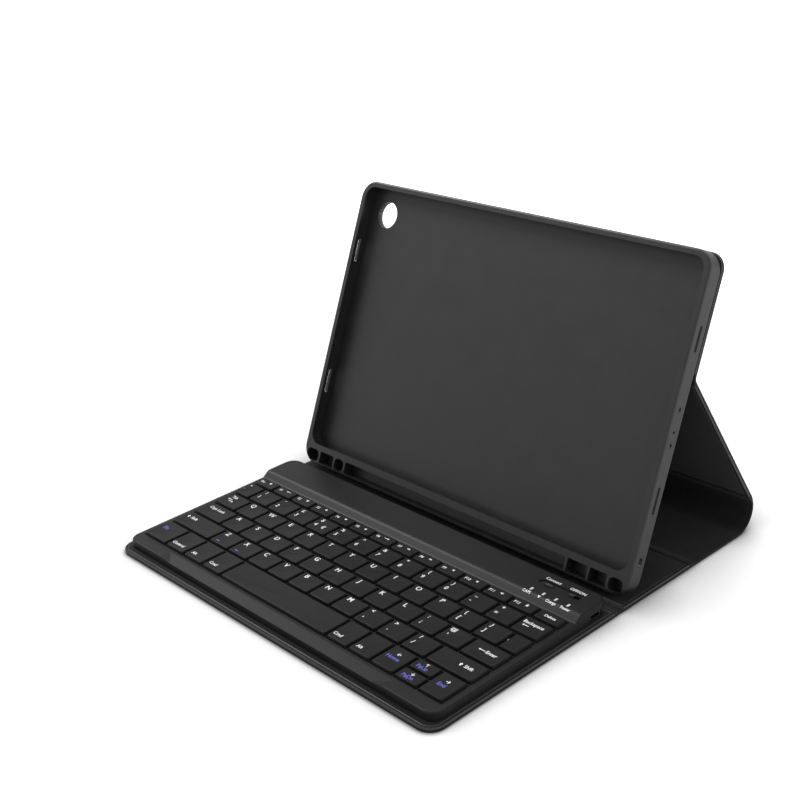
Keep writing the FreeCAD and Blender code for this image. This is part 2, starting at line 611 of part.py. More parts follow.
keep("indicator_lights", gather("light_pipes", lights))

# Bottom cover with steel keeper plates let into it above the front panel's magnets.
derive("base_w", "cavity_w - 0.3")
derive("base_d", "cavity_d - 0.3")
derive("base_r", "cavity_r - 0.15")
sheet.recompute()
bottom = slab("bottom_cover", "base_w", "base_d", "base_r", "base_r", "cover_t", "cavity_y + 0.15", "kb_z")
seats, keepers = [], []
for row_name in magnet_rows:
    for side in (-1, 1):
        tag = "%s_%d" % (row_name, side + 1)
        left = "%d * magnet_x - magnet_l / 2" % side
        seats.append(box("seat_" + tag, "magnet_l + 2 * lay", "magnet_w + 2 * lay", "2", left + " - lay",
                         row_name + " - lay", "kb_z + cover_t / 2"))
        keepers.append(box("keeper_" + tag, "magnet_l", "magnet_w", "cover_t / 2 - 2 * lay", left, row_name,
                           "kb_z + cover_t / 2 + lay"))
keep("keyboard_bottom_cover", cut("bottom_seated", bottom, seats))
keep("keeper_plates", gather("keepers", keepers))

# Inside the keyboard: plate and contact film under the keys, rubber domes on the film.
inner_d = derive("inner_d", "slope_y - wall_t - 4")
inner_w = derive("inner_w", "cavity_w - 3")
sheet.recompute()
for node, thick, z in (("support_plate", "plate_t", "kb_z + cover_t + 2 * lay"),
                       ("contact_film", "film_t", "kb_z + cover_t + plate_t + 4 * lay")):
    sheet_body = slab(node, "inner_w", "inner_d", "crease_r", "crease_r", thick, "cavity_y + 3", z)
    keep(node, sheet_body)
keep("rubber_domes", gather("dome_group", domes))

# In the bar: cell, circuit board, charging socket and the two controls. The board stops short of the round corner.
derive("pcb_end", "kb_w / 2 - wall_t - cavity_r / 2")
sheet.recompute()
keep("battery_cell", box("cell", "cell_w", "bar_d - 3", "cell_h", "cell_side - kb_w / 2", "bar_y + 1.5",
                         "kb_z + cover_t + 2 * lay"))
keep("circuit_board", box("board", "pcb_w", "bar_d - 2", "pcb_t", "pcb_end - pcb_w", "bar_y + 1",
                          "kb_z + cover_t + 2 * lay"))
socket_shell = box("socket_shell", "7.2", "port_w - 0.8", "port_h - 0.6", "kb_w / 2 - 7.2 - 0.3",
                   "kb_y + port_y - port_w / 2 + 0.4", "kb_z + cover_t + pcb_t + 3 * lay")
socket_well = box("socket_well", "6", "port_w - 2", "port_h - 1.6", "kb_w / 2 - 6",
                  "kb_y + port_y - port_w / 2 + 1", "kb_z + cover_t + pcb_t + 0.5 + 3 * lay")
keep("charge_socket", cut("socket", socket_shell, [socket_well]))


def control(name, length, x, top_gap):
    stem = box(name + "_stem", length, "control_w", "wall_t + 1.2 - " + top_gap, x + " - %s / 2" % length,
               "kb_y + recess_y - control_w / 2", "bar_z - wall_t - 1.2")
    flange = box(name + "_flange", length + " + 3", "control_w + 2.4", "0.6", x + " - %s / 2 - 1.5" % length,
                 "kb_y + recess_y - control_w / 2 - 1.2", "bar_z - wall_t - 1.2")
    both = doc.addObject("Part::Fuse", name + "_joined")
    both.Base = stem
    both.Tool = flange
    return both


keep("power_switch", control("slider", "3", "switch_x", "0.1"))
keep("connect_button", control("button", "5", "connect_x", "0.2"))

doc.recompute()
for obj in doc.Objects:
    if "Invalid" in obj.State or "Error" in obj.State:
        raise RuntimeError("not built: %s %s" % (obj.Name, obj.State))
os.makedirs("parts", exist_ok=True)
for name, obj in nodes.items():
    if obj.Shape.isNull() or not obj.Shape.isValid() or not obj.Shape.Solids:
        raise RuntimeError("bad shape: " + name)
    obj.Shape.exportStep("parts/%s.step" % name)
print("pieces", len(nodes), "stand angle", round(sheet.get("stand_angle"), 3), "stand length",
      round(sheet.get("stand_len"), 3))
print("fold at", round(sheet.get("fold_wy"), 3), round(sheet.get("fold_wz"), 3), "bend at",
      round(sheet.get("bend_y"), 3), "crease", round(sheet.get("crease_y"), 3))
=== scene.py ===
import math

import bmesh
import bpy
from mathutils import Matrix, Vector


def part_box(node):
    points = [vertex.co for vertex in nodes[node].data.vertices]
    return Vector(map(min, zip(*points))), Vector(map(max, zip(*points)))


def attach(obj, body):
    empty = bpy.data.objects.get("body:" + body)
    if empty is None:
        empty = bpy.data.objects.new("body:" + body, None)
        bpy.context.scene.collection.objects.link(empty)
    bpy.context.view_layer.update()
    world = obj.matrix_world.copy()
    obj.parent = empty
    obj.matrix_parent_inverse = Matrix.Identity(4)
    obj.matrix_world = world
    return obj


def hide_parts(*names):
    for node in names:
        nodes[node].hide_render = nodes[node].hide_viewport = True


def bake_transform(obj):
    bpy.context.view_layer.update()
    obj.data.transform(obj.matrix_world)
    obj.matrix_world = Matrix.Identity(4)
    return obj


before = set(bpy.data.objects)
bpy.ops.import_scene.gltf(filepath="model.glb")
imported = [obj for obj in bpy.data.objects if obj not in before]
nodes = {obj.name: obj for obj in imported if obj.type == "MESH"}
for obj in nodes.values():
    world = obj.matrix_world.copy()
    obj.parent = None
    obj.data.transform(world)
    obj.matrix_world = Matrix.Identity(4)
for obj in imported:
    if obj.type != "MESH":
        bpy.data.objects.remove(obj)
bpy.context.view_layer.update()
mm = 0.001
print("frame loaded,", len(nodes), "nodes")


# small helpers

def dropPick():
    if bpy.context.object and bpy.context.object.mode != "OBJECT":
        bpy.ops.object.mode_set(mode="OBJECT")
    bpy.ops.object.select_all(action="DESELECT")


def pickOnly(*pieces):
    dropPick()
    for piece in pieces:
        piece.select_set(True)
    bpy.context.view_layer.objects.active = pieces[0]


def pickParts(piece, kind, rule):
    # goes into edit mode with only the edges or faces that the rule names selected
    pickOnly(piece)
    bpy.ops.object.mode_set(mode="EDIT")
    bpy.ops.mesh.select_mode(type=kind)
    bpy.ops.mesh.select_all(action="DESELECT")
    mesh = bmesh.from_edit_mesh(piece.data)
    mesh.normal_update()
    for part in (mesh.edges if kind == "EDGE" else mesh.faces):
        if rule(part):
            part.select_set(True)
    mesh.select_flush_mode()
    bmesh.update_edit_mesh(piece.data)


def editWhole(piece):
    # goes into edit mode with the whole mesh selected
    pickOnly(piece)
    bpy.ops.object.mode_set(mode="EDIT")
    bpy.ops.mesh.select_all(action="SELECT")


def leaveEdit():
    bpy.ops.object.mode_set(mode="OBJECT")


def blockOut(name, size, at):
    # a block at its size and place, in mm, with its place in the mesh
    dropPick()
    bpy.ops.mesh.primitive_cube_add(size=1, location=[c * mm for c in at])
    piece = bpy.context.object
    piece.name = name
    piece.scale = [s * mm for s in size]
    bpy.ops.object.transform_apply(location=True, rotation=True, scale=True)
    return piece


def settle(piece, place):
    # carries a piece from its own flat drawing to its place on the object
    pickOnly(piece)
    piece.matrix_world = place
    bpy.ops.object.transform_apply(location=True, rotation=True, scale=True)


def finishWith(piece, kind, **settings):
    pickOnly(piece)
    step = piece.modifiers.new(kind.lower(), kind)
    for key, value in settings.items():
        setattr(step, key, value)
    bpy.ops.object.modifier_apply(modifier=step.name)


def smooth(piece, degrees=35):
    pickOnly(piece)
    bpy.ops.object.shade_smooth_by_angle(angle=math.radians(degrees))


def mergeAll(name, pieces):
    pickOnly(*pieces)
    if len(pieces) > 1:
        bpy.ops.object.join()
    pieces[0].name = name
    return pieces[0]


def dress(piece, material):
    piece.data.materials.clear()
    piece.data.materials.append(material)


def linear(code):
    def channel(text):
        c = int(text, 16) / 255
        return c / 12.92 if c <= 0.04045 else ((c + 0.055) / 1.055) ** 2.4
    return [channel(code[i:i + 2]) for i in (1, 3, 5)] + [1.0]


# materials

def addNode(tree, kind, settings=None, links=None):
    node = tree.nodes.new(kind)
    for key, value in (settings or {}).items():
        if isinstance(key, int) or key in node.inputs:
            node.inputs[key].default_value = value
        else:
            setattr(node, key, value)
    for key, source in (links or {}).items():
        tree.links.new(source, node.inputs[key])
    return node


def whiteFor(tree):
    # 1 for the rays that should find a white background: seen straight, in a gloss or through glass
    path = addNode(tree, "ShaderNodeLightPath")
    straight = addNode(tree, "ShaderNodeMath", {"operation": "MAXIMUM"},
                       {0: path.outputs["Is Camera Ray"], 1: path.outputs["Is Glossy Ray"]})
    return addNode(tree, "ShaderNodeMath", {"operation": "MAXIMUM"},
                   {0: straight.outputs["Value"], 1: path.outputs["Is Transmission Ray"]}).outputs["Value"]


def surface(name, look):
    # colour mottled between two tones, roughness that wanders with it, and bumps from real sizes in mm
    material = bpy.data.materials.new(name)
    material.use_nodes = True
    tree = material.node_tree
    shader = tree.nodes["Principled BSDF"]
    place = addNode(tree, "ShaderNodeTexCoord")
    patch = addNode(tree, "ShaderNodeTexNoise",
                    {"Scale": 1000 / look["patch"], "Detail": 4.0, "Roughness": 0.6},
                    {"Vector": place.outputs["Object"]})
    tones = addNode(tree, "ShaderNodeValToRGB", links={"Fac": patch.outputs["Fac"]})
    tones.color_ramp.elements[0].position = 0.3
    tones.color_ramp.elements[1].position = 0.7
    tones.color_ramp.elements[0].color = linear(look["dark"])
    tones.color_ramp.elements[1].color = linear(look["light"])
    tree.links.new(tones.outputs["Color"], shader.inputs["Base Color"])
    gloss = addNode(tree, "ShaderNodeMapRange", {"To Min": look["rough"][0], "To Max": look["rough"][1]},
                    {"Value": patch.outputs["Fac"]})
    tree.links.new(gloss.outputs["Result"], shader.inputs["Roughness"])
    shader.inputs["IOR"].default_value = 1.5
    shader.inputs["Metallic"].default_value = look.get("metal", 0.0)
    shader.inputs["Specular IOR Level"].default_value = look.get("specular", 0.5)
    if "sheen" in look:
        shader.inputs["Sheen Weight"].default_value = look["sheen"]
        shader.inputs["Sheen Roughness"].default_value = 0.5
    # a painted glow: emission on a part that is no lamp
    if "glow" in look:
        shader.inputs["Emission Color"].default_value = linear(look["light"])
        shader.inputs["Emission Strength"].default_value = look["glow"]
    bump = None
    for kind, size, depth in look["bumps"]:
        if kind == "pebble":
            height = addNode(tree, "ShaderNodeTexVoronoi", {"Scale": 1000 / size, "feature": "SMOOTH_F1"},
                             {"Vector": place.outputs["Object"]}).outputs["Distance"]
        else:
            height = addNode(tree, "ShaderNodeTexNoise", {"Scale": 1000 / size, "Detail": 3.0},
                             {"Vector": place.outputs["Object"]}).outputs["Fac"]
        links = {"Height": height}
        if bump:
            links["Normal"] = bump.outputs["Normal"]
        bump = addNode(tree, "ShaderNodeBump", {"Strength": 1.0, "Distance": depth * mm}, links)
    tree.links.new(bump.outputs["Normal"], shader.inputs["Normal"])
    return material


looks = {
    # polyurethane leather, embossed with a fine pebble: matt, with a faint broken shine
    "polyurethaneLeatherEmbossed": {"dark": "#1b1b1c", "light": "#212122", "patch": 9, "rough": (0.5, 0.62),
                                    "specular": 0.13, "bumps": [("pebble", 0.9, 0.05), ("grain", 3.5, 0.06)]},
    # acrylic edge paint on the cut rim of the panels: smoother, and a shade lighter as a painted highlight
    # where the rim catches light
    "acrylicEdgeWithPaintedHighlight": {"dark": "#323233", "light": "#3b3b3d", "patch": 5, "rough": (0.4, 0.5),
                           "specular": 0.2, "bumps": [("grain", 1.2, 0.02)]},
    # microfibre lining, brushed: very matt and a little darker than the skin
    "microfibreBrushed": {"dark": "#18181a", "light": "#1f1f20", "patch": 6, "rough": (0.8, 0.95),
                          "sheen": 0.08, "specular": 0.1,
                          "bumps": [("grain", 0.5, 0.05), ("grain", 2.5, 0.05)]},
    # thermoplastic polyurethane, moulded: soft plastic with a satin face
    "softPolyurethaneMoulded": {"dark": "#1b1b1c", "light": "#202021", "patch": 14, "rough": (0.38, 0.48),
                                "specular": 0.35, "bumps": [("grain", 0.8, 0.015), ("grain", 7, 0.05)]},
    # ABS, spark-eroded mould: matt deck with a fine even tooth
    "absSparkEroded": {"dark": "#151516", "light": "#19191a", "patch": 18, "rough": (0.4, 0.47),
                       "specular": 0.12, "bumps": [("grain", 0.6, 0.012), ("grain", 12, 0.03)]},
    # ABS keycaps, moulded fine: the tops are a shade lighter than the deck
    "absKeycapMoulded": {"dark": "#171718", "light": "#1b1b1c", "patch": 11, "rough": (0.4, 0.48),
                         "specular": 0.09, "bumps": [("grain", 0.5, 0.01)]},
    # ABS keycap skirts, left bare: black plastic deepened to near black as painted shade, seen only between
    # keys
    "absSkirtBareAndPaintedShade": {"dark": "#030303", "light": "#050505", "patch": 5, "rough": (0.6, 0.7), "specular": 0.2,
                      "bumps": [("grain", 0.5, 0.01)]},
    # pad-printed inks on the caps and the bar, with a faint painted glow from emission
    "whiteInkWithPaintedGlow": {"dark": "#e4e4e4", "light": "#f2f2f2", "patch": 2, "rough": (0.5, 0.6), "glow": 0.15,
                        "bumps": [("grain", 0.3, 0.005)]},
    "violetInkWithPaintedGlow": {"dark": "#4b49ad", "light": "#5a58c4", "patch": 2, "rough": (0.5, 0.6), "glow": 0.2,
                         "bumps": [("grain", 0.3, 0.005)]},
    # milky polycarbonate light pipes
    "polycarbonateMilky": {"dark": "#d8d8d8", "light": "#ededed", "patch": 3, "rough": (0.3, 0.4),
                           "bumps": [("grain", 0.4, 0.005)]},
    # ABS of the switch and button, gloss moulded
    "absGlossMoulded": {"dark": "#121212", "light": "#181818", "patch": 4, "rough": (0.25, 0.33),
                        "bumps": [("grain", 0.4, 0.006)]},
    # inner pieces
    "greyBoardPressed": {"dark": "#6f6a62", "light": "#7d786f", "patch": 3, "rough": (0.85, 0.95),
                         "bumps": [("grain", 0.7, 0.05)]},
    "steelColdRolled": {"dark": "#8a8c8e", "light": "#9b9da0", "patch": 8, "rough": (0.3, 0.42), "metal": 1.0,
                        "bumps": [("grain", 0.5, 0.008)]},
    "nickelPlated": {"dark": "#b3b0aa", "light": "#c4c1bb", "patch": 6, "rough": (0.16, 0.25), "metal": 1.0,
                     "bumps": [("grain", 0.6, 0.004)]},
    "blackNickelPlated": {"dark": "#3f3e3c", "light": "#4a4946", "patch": 4, "rough": (0.3, 0.4),
                          "metal": 1.0, "bumps": [("grain", 0.5, 0.004)]},
    "siliconeMoulded": {"dark": "#b9bbb8", "light": "#c8cac7", "patch": 3, "rough": (0.5, 0.6),
                        "bumps": [("grain", 0.5, 0.01)]},
    "polyesterFilm": {"dark": "#9aa6a4", "light": "#abb6b4", "patch": 9, "rough": (0.15, 0.25),
                      "bumps": [("grain", 1.5, 0.005)]},
    "glassEpoxyLaminate": {"dark": "#15432b", "light": "#1b5235", "patch": 1.2, "rough": (0.35, 0.5),
                           "bumps": [("grain", 0.4, 0.012)]},
    "aluminiumPouch": {"dark": "#a9abad", "light": "#bbbdbf", "patch": 7, "rough": (0.3, 0.45), "metal": 0.8,
                       "bumps": [("grain", 4, 0.12)]},
}
finishes = {name: surface(name, look) for name, look in looks.items()}
print("materials", len(finishes))

# CAD nodes that keep their own shape
kept = {
    "softPolyurethaneMoulded": ["tablet_tray"],
    "absSparkEroded": ["keyboard_top_case", "keyboard_bottom_cover"],
    "absGlossMoulded": ["power_switch", "connect_button"],
    "polycarbonateMilky": ["indicator_lights"],
    "nickelPlated": ["front_panel_magnets"],
    "blackNickelPlated": ["charge_socket"],
    "greyBoardPressed": ["front_panel_board", "rear_panel_board", "stand_panel_board", "back_strip_board"],
    "steelColdRolled": ["keeper_plates", "support_plate"],
    "siliconeMoulded": ["rubber_domes"],
    "polyesterFilm": ["contact_film"],
    "glassEpoxyLaminate": ["circuit_board"],
    "aluminiumPouch": ["battery_cell"],
}
for finish, names in kept.items():
    for name in names:
        dress(nodes[name], finishes[finish])


# where the tilted parts stand
cover = {"width": 262, "panelThick": 2.6, "softThick": 1.35, "bendRadius": 14, "bendY": 173.05,
         "standTurn": 121.503, "standDeep": 100.303, "trayTilt": 66.5, "footY": 82, "footZ": 2.7,
         "foldY": 130.717, "foldZ": 109.099, "foldHalf": 2.5}
standTurn = math.radians(cover["standTurn"])
trayTilt = math.radians(cover["trayTilt"])
flatPlace = Matrix.Identity(4)
standPlace = Matrix.Translation((0, (cover["bendY"] + cover["bendRadius"] * math.sin(standTurn)) * mm,
                                 cover["bendRadius"] * (1 - math.cos(standTurn)) * mm)) \
    @ Matrix.Rotation(standTurn, 4, "X")
trayPlace = Matrix.Translation((0, cover["footY"] * mm, cover["footZ"] * mm)) \
    @ Matrix.Rotation(trayTilt, 4, "X")


# stiff panels of the cover, drawn flat with the leather face down
panels = {
    "frontPanel": {"body": "front_panel", "y": -66, "deep": 132, "z": 0, "frontRound": 9, "rearRound": 1.5,
                   "place": flatPlace, "stands": ["front_panel_skin", "front_panel_lining"]},
    "rearPanel": {"body": "base", "y": 71, "deep": 58, "z": 0, "frontRound": 1.5, "rearRound": 1.5,
                  "place": flatPlace, "stands": ["rear_panel_skin", "rear_panel_lining"]},
    "standPanel": {"body": "stand_panel", "y": 0.4, "deep": cover["standDeep"], "z": 0,
                   "frontRound": 1.5, "rearRound": 1.5, "place": standPlace,
                   "stands": ["stand_panel_skin", "stand_panel_lining"]},
    "backStrip": {"body": "tray", "y": 119.5, "deep": 62.5, "z": -2.65, "frontRound": 1.5, "rearRound": 9,
                  "place": trayPlace, "stands": ["back_strip_skin"], "lens": (-112.8, 163.3, 8.25)},
}
panelEdge = {"rim": 0.55, "border": 4.2, "groove": 0.55, "grooveDeep": 0.3,
             "liningIn": 1.5, "liningHalf": 0.35, "liningDeep": 0.22,
             "seamAt": 1.35, "seamHalf": 0.16, "seamIn": 0.05, "seamDeep": 0.3,
             "wideSteps": 10, "smallSteps": 3, "lensSteps": 48, "lensCut": 12, "lensRound": 0.6}
broadFace = 1e-3  # square metres: of a panel's faces only the two broad ones are larger


def pressedLine(inset, half, deep):
    # a V pressed into the picked face, running all round it
    bpy.ops.mesh.inset(thickness=inset * mm)
    bpy.ops.mesh.inset(thickness=half * mm)
    bpy.ops.transform.translate(value=(0, 0, deep * mm))
    bpy.ops.mesh.inset(thickness=half * mm)
    bpy.ops.transform.translate(value=(0, 0, -deep * mm))


def coverPanel(name, spec):
    wide, deep, thick = cover["width"], spec["deep"], cover["panelThick"]
    piece = blockOut(name, (wide, deep, thick), (0, spec["y"] + deep / 2, spec["z"] + thick / 2))
    low, midY = spec["z"] * mm, (spec["y"] + deep / 2) * mm

    def roundCorners(front, turn, steps):
        pickParts(piece, "EDGE", lambda e: abs(e.verts[0].co.z - e.verts[1].co.z) > mm
                  and (e.verts[0].co.y < midY) == front and e.calc_face_angle(0) > 1)
        bpy.ops.mesh.bevel(offset=turn * mm, segments=steps)
        leaveEdit()

    # the wide corners come before the pressed lines, which follow them, and the small ones after
    ends = ((True, spec["frontRound"]), (False, spec["rearRound"]))
    for front, turn in ends:
        if turn > panelEdge["border"]:
            roundCorners(front, turn, panelEdge["wideSteps"])
    pickParts(piece, "FACE", lambda f: f.normal.z < -0.99 and f.calc_area() > broadFace)
    pressedLine(panelEdge["border"], panelEdge["groove"], panelEdge["grooveDeep"])
    leaveEdit()
    pickParts(piece, "FACE", lambda f: f.normal.z > 0.99 and f.calc_area() > broadFace)
    pressedLine(panelEdge["liningIn"], panelEdge["liningHalf"], -panelEdge["liningDeep"])
    leaveEdit()
    for front, turn in ends:
        if turn <= panelEdge["border"]:
            roundCorners(front, turn, panelEdge["smallSteps"])
    pickParts(piece, "EDGE", lambda e: sorted(abs(f.normal.z) > 0.5 for f in e.link_faces) == [False, True]
              and abs(e.verts[0].co.z - e.verts[1].co.z) < 1e-6)
    bpy.ops.mesh.bevel(offset=panelEdge["rim"] * mm, segments=3)
    leaveEdit()
    # the seam between skin and lining runs round the rim as a small groove
    seam = low + panelEdge["seamAt"] * mm
    seamHalf = panelEdge["seamHalf"] * mm
    for cutZ in (seam - seamHalf, seam + seamHalf):
        editWhole(piece)
        bpy.ops.mesh.bisect(plane_co=(0, 0, cutZ), plane_no=(0, 0, 1))
        leaveEdit()
    pickParts(piece, "FACE", lambda f: abs(f.calc_center_median().z - seam) < 0.5 * seamHalf
              and abs(f.normal.z) < 0.2)
    bpy.ops.mesh.inset(thickness=panelEdge["seamIn"] * mm, depth=-panelEdge["seamDeep"] * mm)
    leaveEdit()
    piece.data.materials.append(finishes["polyurethaneLeatherEmbossed"])
    piece.data.materials.append(finishes["microfibreBrushed"])
    piece.data.materials.append(finishes["acrylicEdgeWithPaintedHighlight"])
    for face in piece.data.polygons:
        if face.normal.z > 0.99 and face.area > broadFace:
            face.material_index = 1
        # the rim on the lining side takes the edge paint with its painted highlight
        elif abs(face.normal.z) < 0.9 and face.center.z > seam:
            face.material_index = 2
    if "lens" in spec:
        x, y, radius = spec["lens"]
        dropPick()
        bpy.ops.mesh.primitive_cylinder_add(vertices=panelEdge["lensSteps"], radius=radius * mm,
                                            depth=panelEdge["lensCut"] * mm,
                                            location=(x * mm, y * mm, spec["z"] * mm))
        cutter = bpy.context.object
        finishWith(piece, "BOOLEAN", operation="DIFFERENCE", solver="EXACT", object=cutter)
        bpy.data.objects.remove(cutter)
        centre = Vector((x * mm, y * mm))
        pickParts(piece, "EDGE", lambda e: all(abs((v.co.xy - centre).length - radius * mm) < 2e-5
                                               and abs(v.co.z - low) < 1e-5 for v in e.verts))
        bpy.ops.mesh.bevel(offset=panelEdge["lensRound"] * mm, segments=panelEdge["smallSteps"])
        leaveEdit()
    smooth(piece)
    settle(piece, spec["place"])
    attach(piece, spec["body"])
    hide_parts(*spec["stands"])
    return piece


for panelName, panelSpec in panels.items():
    coverPanel(panelName, panelSpec)
print("cover panels", len(panels))


# soft parts between the panels; lift is the height of their leather face over that of the panels
soft = {"columns": 40, "narrower": 0.3, "lift": 0.04, "edgeRound": 0.25, "edgeFrom": 60, "smoothTo": 50}


def softSheet(name, path):
    # a sheet carried along its leather face, thickened inwards by so much in each row
    dropPick()
    bpy.ops.mesh.primitive_grid_add(x_subdivisions=soft["columns"], y_subdivisions=len(path) - 1, size=1)
    piece = bpy.context.object
    piece.name = name
    levels = sorted({round(v.co.y, 5) for v in piece.data.vertices})
    most = max(row[2] for row in path)
    depth = piece.vertex_groups.new(name="depth")
    for v in piece.data.vertices:
        y, z, thick = path[round(levels.index(round(v.co.y, 5)) * (len(path) - 1) / (len(levels) - 1))]
        v.co = Vector((v.co.x * (cover["width"] - soft["narrower"]) * mm, y * mm, z * mm))
        depth.add([v.index], thick / most, "REPLACE")
    finishWith(piece, "SOLIDIFY", thickness=most * mm, offset=1, vertex_group="depth",
               use_quality_normals=True, material_offset_rim=0)
    editWhole(piece)
    bpy.ops.mesh.normals_make_consistent(inside=False)
    leaveEdit()
    piece.vertex_groups.clear()
    finishWith(piece, "BEVEL", width=soft["edgeRound"] * mm, segments=2, limit_method="ANGLE",
               angle_limit=math.radians(soft["edgeFrom"]))
    piece.data.materials.append(finishes["polyurethaneLeatherEmbossed"])
    piece.data.materials.append(finishes["microfibreBrushed"])
    smooth(piece, soft["smoothTo"])
    return piece


def lineInside(piece, inward):
    # the face towards the inside of the case is lined
    for face in piece.data.polygons:
        if face.normal.dot(inward(face.center)) > 0.5:
            face.material_index = 1


def ramp(along, reach, thin, thick):
    # thickness near a panel, where the lining climbs over the edge of the board
    share = min(1, max(0, along / reach))
    return thick + (thin - thick) * share * share * (3 - 2 * share)


# spine: flat behind the rear panel, then curled up to the stand panel, tucked a little way into both
spine = {"from": 127.4, "flatRows": 30, "bendRows": 28, "tuck": 1.6, "ramp": 6, "thick": 2.45,
         "gives": (38, 84)}
rearEnd = panels["rearPanel"]["y"] + panels["rearPanel"]["deep"]
spinePath = []
for i in range(spine["flatRows"]):
    y = spine["from"] + (cover["bendY"] - spine["from"]) * i / spine["flatRows"]
    spinePath.append((y, soft["lift"], ramp(y - rearEnd, spine["ramp"], cover["softThick"], spine["thick"])))
skinRadius = cover["bendRadius"] - soft["lift"]
for i in range(spine["bendRows"] + 1):
    turn = standTurn * i / spine["bendRows"]
    left = (standTurn - turn) * cover["bendRadius"]
    spinePath.append((cover["bendY"] + skinRadius * math.sin(turn),
                      cover["bendRadius"] - skinRadius * math.cos(turn),
                      ramp(left, spine["ramp"], cover["softThick"], spine["thick"])))
lastY, lastZ = spinePath[-1][:2]
spinePath.append((lastY + spine["tuck"] * math.cos(standTurn),
                  lastZ + spine["tuck"] * math.sin(standTurn), spine["thick"]))
spineLeather = softSheet("spineLeather", spinePath)
bendCentre = Vector((0, cover["bendY"] * mm, cover["bendRadius"] * mm))
lineInside(spineLeather, lambda p: Vector((0, 0, 1)) if p.y < cover["bendY"] * mm
           else (Vector((0, bendCentre.y - p.y, bendCentre.z - p.z))).normalized())
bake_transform(spineLeather)
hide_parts("spine_skin", "spine_lining", "spine_bend")

# crease between the front and rear panels: a shallow valley on the inside
crease = {"from": 64.6, "to": 72.4, "rows": 16, "dip": 1.0, "arch": 0.35, "thick": 2.45}
frontEnd = panels["frontPanel"]["y"] + panels["frontPanel"]["deep"]
rearStart = panels["rearPanel"]["y"]
creasePath = []
for i in range(crease["rows"] + 1):
    y = crease["from"] + (crease["to"] - crease["from"]) * i / crease["rows"]
    across = min(1, max(0, (y - frontEnd) / (rearStart - frontEnd)))
    swell = math.sin(math.pi * across) ** 2
    creasePath.append((y, soft["lift"] + crease["arch"] * swell, crease["thick"] - crease["dip"] * swell))
creaseLeather = softSheet("creaseLeather", creasePath)
lineInside(creaseLeather, lambda p: Vector((0, 0, 1)))
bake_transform(creaseLeather)
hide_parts("crease_strip")

# fold behind the tray: one smooth bend from the stand panel to the back strip, tucked into both
foldTo = {"rows": 16, "tuck": 1.6, "skinMid": 0.36, "thick": 2.0, "dip": 0.7}
foldAt = Vector((cover["foldY"], cover["foldZ"]))
standWay = Vector((math.cos(standTurn), math.sin(standTurn)))
trayWay = Vector((math.cos(trayTilt), math.sin(trayTilt)))
standOut = Vector((math.sin(standTurn), -math.cos(standTurn)))
trayOut = Vector((math.sin(trayTilt), -math.cos(trayTilt)))
bendStart = foldAt - cover["foldHalf"] * standWay + foldTo["skinMid"] * standOut
bendEnd = foldAt + cover["foldHalf"] * trayWay + foldTo["skinMid"] * trayOut
corner = foldAt + foldTo["skinMid"] * (standOut + trayOut).normalized()
foldPath = [(*(bendStart - foldTo["tuck"] * standWay), foldTo["thick"])]
for i in range(foldTo["rows"] + 1):
    t = i / foldTo["rows"]
    spot = bendStart * (1 - t) ** 2 + corner * 2 * t * (1 - t) + bendEnd * t ** 2
    foldPath.append((spot.x, spot.y, foldTo["thick"] - foldTo["dip"] * math.sin(math.pi * t)))
foldPath.append((*(bendEnd + foldTo["tuck"] * trayWay), foldTo["thick"]))
foldLeather = softSheet("foldLeather", foldPath)
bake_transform(foldLeather)
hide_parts("fold_strip")
print("soft sheets 3")


# keycaps: one per key, in the place of its CAD block
cap = {"gap": 1.7, "corner": 1.1, "rim": 0.3, "draw": 0.25, "dishIn": 0.9, "dishDeep": 0.1}
keyCounts = {
    "key_fn": 1, "key_control": 1, "key_alt_left": 1, "key_command_left": 1, "key_space": 1,
    "key_command_right": 1, "key_alt_right": 1,
    "key_arrow_left": 1, "key_arrow_down": 1, "key_arrow_up": 1, "key_arrow_right": 1,
    "key_shift_left": 1, "keys_z_to_b": 5, "keys_n_to_slash": 5, "key_shift_right": 1,
    "key_caps_lock": 1, "keys_a_to_h": 6, "keys_j_to_quote": 5, "key_enter": 1,
    "key_tab": 1, "keys_q_to_y": 6, "keys_u_to_bracket": 6, "key_backslash": 1,
    "key_grave": 1, "keys_1_to_6": 6, "keys_7_to_equals": 6, "key_backspace": 1,
    "keys_escape_to_f6": 7, "keys_f7_to_delete": 7,
}


def keycap(name, low, high):
    size = [(b - a) / mm for a, b in zip(low, high)]
    middle = [(a + b) / 2 / mm for a, b in zip(low, high)]
    piece = blockOut(name, size, middle)
    pickParts(piece, "FACE", lambda f: f.normal.z > 0.9)
    shrink = [(side - 2 * cap["draw"]) / side for side in size[:2]]
    bpy.ops.transform.resize(value=(*shrink, 1))
    leaveEdit()
    pickParts(piece, "EDGE", lambda e: abs(e.verts[0].co.z - e.verts[1].co.z) > mm)
    bpy.ops.mesh.bevel(offset=cap["corner"] * mm, segments=3)
    leaveEdit()
    pickParts(piece, "EDGE", lambda e: all(v.co.z > high[2] - 1e-6 for v in e.verts))
    bpy.ops.mesh.bevel(offset=cap["rim"] * mm, segments=2)
    leaveEdit()
    pickParts(piece, "FACE", lambda f: f.normal.z > 0.99)
    bpy.ops.mesh.inset(thickness=cap["dishIn"] * mm)
    bpy.ops.transform.translate(value=(0, 0, -cap["dishDeep"] * mm))
    leaveEdit()
    piece.data.materials.append(finishes["absKeycapMoulded"])
    piece.data.materials.append(finishes["absSkirtBareAndPaintedShade"])
    # cap sides take the near-black skirt, which paints the shade between the keys
    for face in piece.data.polygons:
        if face.normal.z < 0.5:
            face.material_index = 1
    return piece


